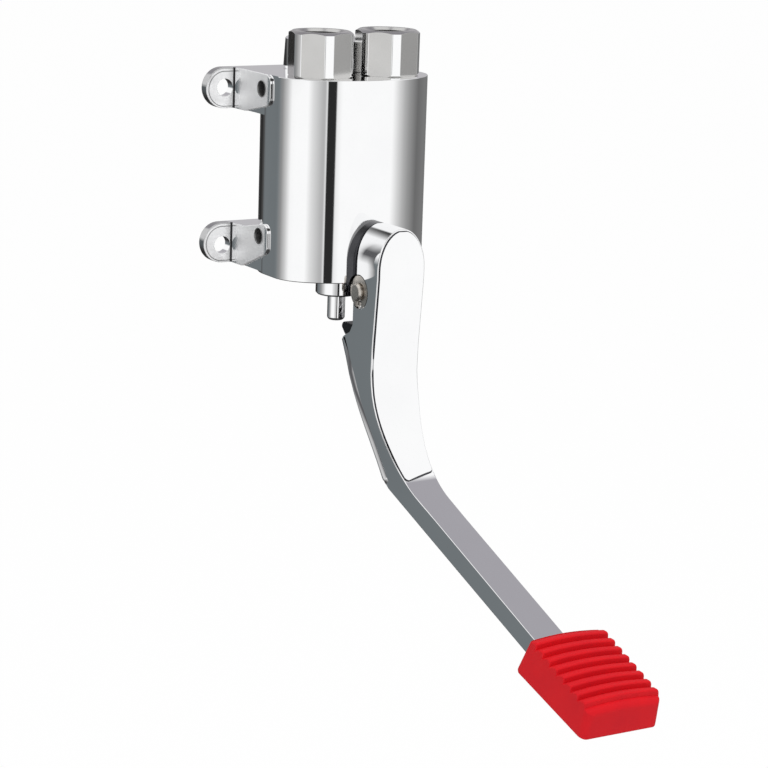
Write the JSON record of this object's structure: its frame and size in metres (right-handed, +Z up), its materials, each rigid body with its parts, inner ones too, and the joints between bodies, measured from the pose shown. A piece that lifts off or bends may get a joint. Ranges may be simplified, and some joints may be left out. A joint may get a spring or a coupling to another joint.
{
  "type": "foot pedal mixing valve",
  "caption": "Wall mounted foot pedal tap valve: chromed body with screw ears, two hexagon inlets, a round outlet and a ribbed red rubber pedal.",
  "frame": {"origin": "centre of the four wall screw holes, on the wall plane", "axes": "+X across the valve to its right as seen from the room, -Y away from the wall towards the pedal, +Z up along the column towards the inlets"},
  "size_m": [0.105, 0.273, 0.2543],
  "materials": {
    "chrome": "polished",
    "brass": "turned",
    "steel": "ground",
    "steel_mesh": "woven",
    "rubber_red": "matt",
    "rubber_black": "matt",
    "fibre": "matt",
    "white_plastic": "moulded",
    "dark_plastic": "moulded"
  },
  "bodies": {
    "valve": {"valve_body": "chrome", "inlet_union_hot": "chrome", "inlet_gasket_hot": "fibre", "inlet_filter_hot": "steel_mesh", "check_valve_hot": "white_plastic", "check_poppet_hot": "dark_plastic", "cartridge_hot": "chrome", "cartridge_ring_hot": "rubber_black", "rod_ring_hot": "rubber_black", "closing_spring_hot": "steel", "inlet_union_cold": "chrome", "inlet_gasket_cold": "fibre", "inlet_filter_cold": "steel_mesh", "check_valve_cold": "white_plastic", "check_poppet_cold": "dark_plastic", "cartridge_cold": "chrome", "cartridge_ring_cold": "rubber_black", "rod_ring_cold": "rubber_black", "closing_spring_cold": "steel", "outlet_socket": "chrome", "outlet_gasket": "fibre", "pivot_pin": "steel", "pin_clip_left": "steel", "pin_clip_right": "steel"},
    "pedal": {"pedal_lever": "chrome", "pedal_pad": "rubber_red", "pivot_bush_left": "dark_plastic", "pivot_bush_right": "dark_plastic"},
    "plunger_hot": {"push_rod_hot": "steel", "valve_washer_hot": "rubber_black", "washer_nut_hot": "brass"},
    "plunger_cold": {"push_rod_cold": "steel", "valve_washer_cold": "rubber_black", "washer_nut_cold": "brass"}
  },
  "joints": [
    {"name": "pedal_hinge", "type": "hinge", "parent": "valve", "child": "pedal", "pos_m": [0, -0.077, -0.047], "axis": [1, 0, 0], "range_deg": [0, 9], "stiffness_Nm_per_rad": 8, "springref_deg": -6.88},
    {"name": "plunger_slide_hot", "type": "slide", "parent": "valve", "child": "plunger_hot", "axis": [0, 0, 1], "range_m": [0, 0.0031], "deforming": ["closing_spring_hot"]},
    {"name": "plunger_slide_cold", "type": "slide", "parent": "valve", "child": "plunger_cold", "axis": [0, 0, 1], "range_m": [0, 0.0031], "deforming": ["closing_spring_cold"]}
  ],
  "couplings": [
    {"joint": "plunger_slide_hot", "follows": "pedal_hinge", "m_per_rad": 0.018},
    {"joint": "plunger_slide_cold", "follows": "pedal_hinge", "m_per_rad": 0.018}
  ]
}
